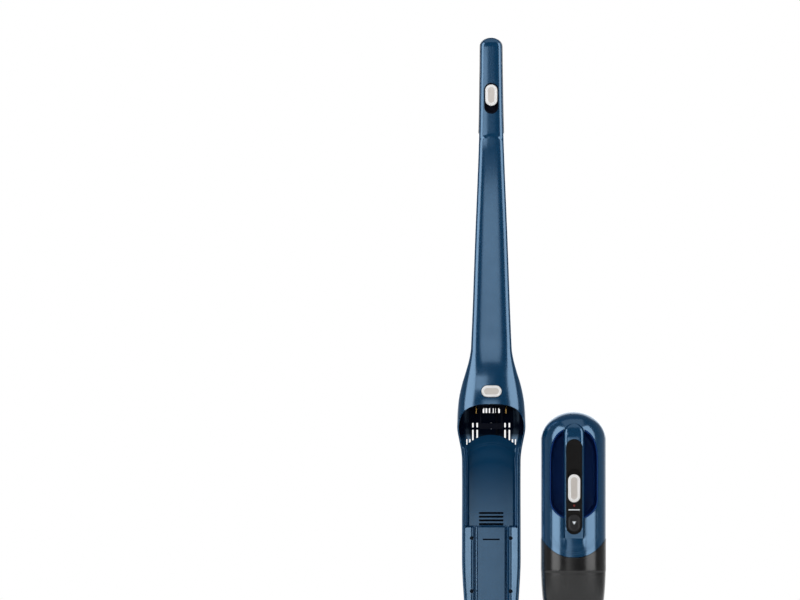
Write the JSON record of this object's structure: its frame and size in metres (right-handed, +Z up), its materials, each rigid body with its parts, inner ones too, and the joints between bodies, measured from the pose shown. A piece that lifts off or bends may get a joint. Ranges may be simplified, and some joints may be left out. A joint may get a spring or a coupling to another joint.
{
  "type": "stick vacuum cleaner",
  "caption": "Cordless upright stick vacuum with a tall tapering handle, a motorised floor head and an open cradle, beside the removable handheld unit with its clear dust bin.",
  "frame": {"origin": "on the floor under the handle's axis, at the centre pad of the floor head's sole", "axes": "+Z up along the handle, +Y towards the back, away from the cradle's open side, +X to the right as seen from the front, towards the lifted-out handheld unit"},
  "size_m": [0.3096, 0.161, 1.1504],
  "materials": {
    "blue_plastic": "glossy dark blue, moulded",
    "navy_plastic": "deep blue, satin",
    "black_plastic": "black, fine texture",
    "soft_black": "soft-touch black",
    "silver_plastic": "pearl silver paint",
    "smoke_plastic": "clear smoke-grey moulded plastic",
    "steel": "plated",
    "brass": "sprung contacts",
    "rubber": "matt",
    "bristle": "nylon bristles in rows",
    "board": "green circuit board",
    "cell_sleeve": "shrink sleeve",
    "filter_paper": "pleated non-woven",
    "foam": "open-cell foam",
    "lamp_red": "red light window"
  },
  "bodies": {
    "floor_head": {"head_top_shell": "blue_plastic", "head_base": "black_plastic", "head_bumper": "rubber", "head_skids": "rubber", "head_screws": "steel", "pivot_pins": "steel", "brush_bushes": "brass", "drive_motor": "steel", "drive_belt": "rubber", "wheel_axles": "steel"},
    "brush_roll": {"brush_core": "black_plastic", "brush_bristles": "bristle", "brush_pulley": "black_plastic"},
    "pinion": {"motor_pinion": "black_plastic"},
    "roll_lock": {"brush_lock": "silver_plastic"},
    "left_wheel": {"wheel_left": "rubber"},
    "right_wheel": {"wheel_right": "rubber"},
    "neck": {"neck_knuckle": "black_plastic"},
    "stick": {"neck_ring": "black_plastic", "lower_duct": "black_plastic", "duct_gasket": "rubber", "cradle_back_shell": "blue_plastic", "cradle_tray": "blue_plastic", "tray_screws": "steel", "dock_roof": "navy_plastic", "contact_pins": "brass", "handle_front_shell": "blue_plastic", "grip_back": "soft_black", "switch_recess": "black_plastic", "wire_loom": "rubber", "latch_pin": "steel", "ejector_spring": "steel", "charge_socket": "black_plastic"},
    "handle_slider": {"handle_switch": "silver_plastic"},
    "release": {"release_button": "silver_plastic"},
    "latch": {"release_latch": "black_plastic"},
    "ejector": {"ejector": "black_plastic"},
    "handheld": {"casing_front": "blue_plastic", "casing_back": "blue_plastic", "hand_well": "navy_plastic", "bridge_cover": "blue_plastic", "grip_insert": "soft_black", "charge_lamp": "lamp_red", "motor_can": "steel", "motor_mount": "black_plastic", "fan_shroud": "black_plastic", "battery_cells": "cell_sleeve", "battery_frame": "black_plastic", "control_board": "board", "exhaust_filter": "foam", "casing_screws": "steel"},
    "power_slider": {"power_switch": "silver_plastic"},
    "bin_release": {"bin_button": "black_plastic"},
    "fan": {"fan_wheel": "silver_plastic"},
    "bin": {"dust_bin": "smoke_plastic", "filter_frame": "black_plastic", "filter_pleats": "filter_paper", "inlet_duct": "black_plastic", "bin_seal": "rubber"},
    "flap": {"inlet_flap": "rubber"}
  },
  "joints": [
    {"name": "neck_tilt", "type": "hinge", "parent": "floor_head", "child": "neck", "pos_m": [0, 0.004, 0.034], "axis": [-1, 0, 0], "range_deg": [0, 80]},
    {"name": "neck_swivel", "type": "hinge", "parent": "neck", "child": "stick", "pos_m": [0, 0, 0.102], "axis": [0, 0, 1], "range_deg": [-60, 60]},
    {"name": "brush_spin", "type": "hinge", "parent": "floor_head", "child": "brush_roll", "pos_m": [0, -0.054, 0.025], "axis": [1, 0, 0], "continuous": true},
    {"name": "pinion_spin", "type": "hinge", "parent": "floor_head", "child": "pinion", "pos_m": [-0.1106, -0.013, 0.03], "axis": [1, 0, 0], "continuous": true},
    {"name": "roll_lock_turn", "type": "hinge", "parent": "floor_head", "child": "roll_lock", "pos_m": [0.12, -0.054, 0.025], "axis": [1, 0, 0], "range_deg": [0, 90]},
    {"name": "left_wheel_spin", "type": "hinge", "parent": "floor_head", "child": "left_wheel", "pos_m": [-0.0386, 0.024, 0.015], "axis": [1, 0, 0], "continuous": true},
    {"name": "right_wheel_spin", "type": "hinge", "parent": "floor_head", "child": "right_wheel", "pos_m": [0.0386, 0.024, 0.015], "axis": [1, 0, 0], "continuous": true},
    {"name": "handle_switch_slide", "type": "slide", "parent": "stick", "child": "handle_slider", "axis": [0, -0.1187, -0.9929], "range_m": [0, 0.008]},
    {"name": "release_press", "type": "slide", "parent": "stick", "child": "release", "axis": [0, 1, 0], "range_m": [-0.0015, 0.003], "stiffness_N_per_m": 600},
    {"name": "latch_swing", "type": "hinge", "parent": "stick", "child": "latch", "pos_m": [0, -0.011, 0.572], "axis": [-1, 0, 0], "range_deg": [-5.6, 11.6]},
    {"name": "ejector_slide", "type": "slide", "parent": "stick", "child": "ejector", "axis": [0, 1, 0], "range_m": [0, 0.014], "stiffness_N_per_m": 250, "springref_m": -0.02, "deforming": ["ejector_spring"]},
    {"name": "handheld_carry", "type": "slide", "parent": "ejector", "child": "handheld", "axis": [-1, 0, 0], "range_m": [0, 0.13]},
    {"name": "power_switch_slide", "type": "slide", "parent": "handheld", "child": "power_slider", "axis": [0, 0, 1], "range_m": [0, 0.008]},
    {"name": "bin_button_press", "type": "slide", "parent": "handheld", "child": "bin_release", "axis": [0, 1, 0], "range_m": [0, 0.0025], "stiffness_N_per_m": 600},
    {"name": "fan_spin", "type": "hinge", "parent": "handheld", "child": "fan", "pos_m": [0.13, -0.036, 0.36], "axis": [0, 0, 1], "continuous": true},
    {"name": "bin_pull", "type": "slide", "parent": "handheld", "child": "bin", "axis": [0, 0, 1], "range_m": [-0.085, 0]},
    {"name": "flap_swing", "type": "hinge", "parent": "bin", "child": "flap", "pos_m": [0.13, -0.0196, 0.2353], "axis": [-1, 0, 0], "range_deg": [0, 60]}
  ],
  "couplings": [
    {"joint": "pinion_spin", "follows": "brush_spin", "ratio": 2.087},
    {"joint": "latch_swing", "follows": "release_press", "rad_per_m": 64}
  ]
}
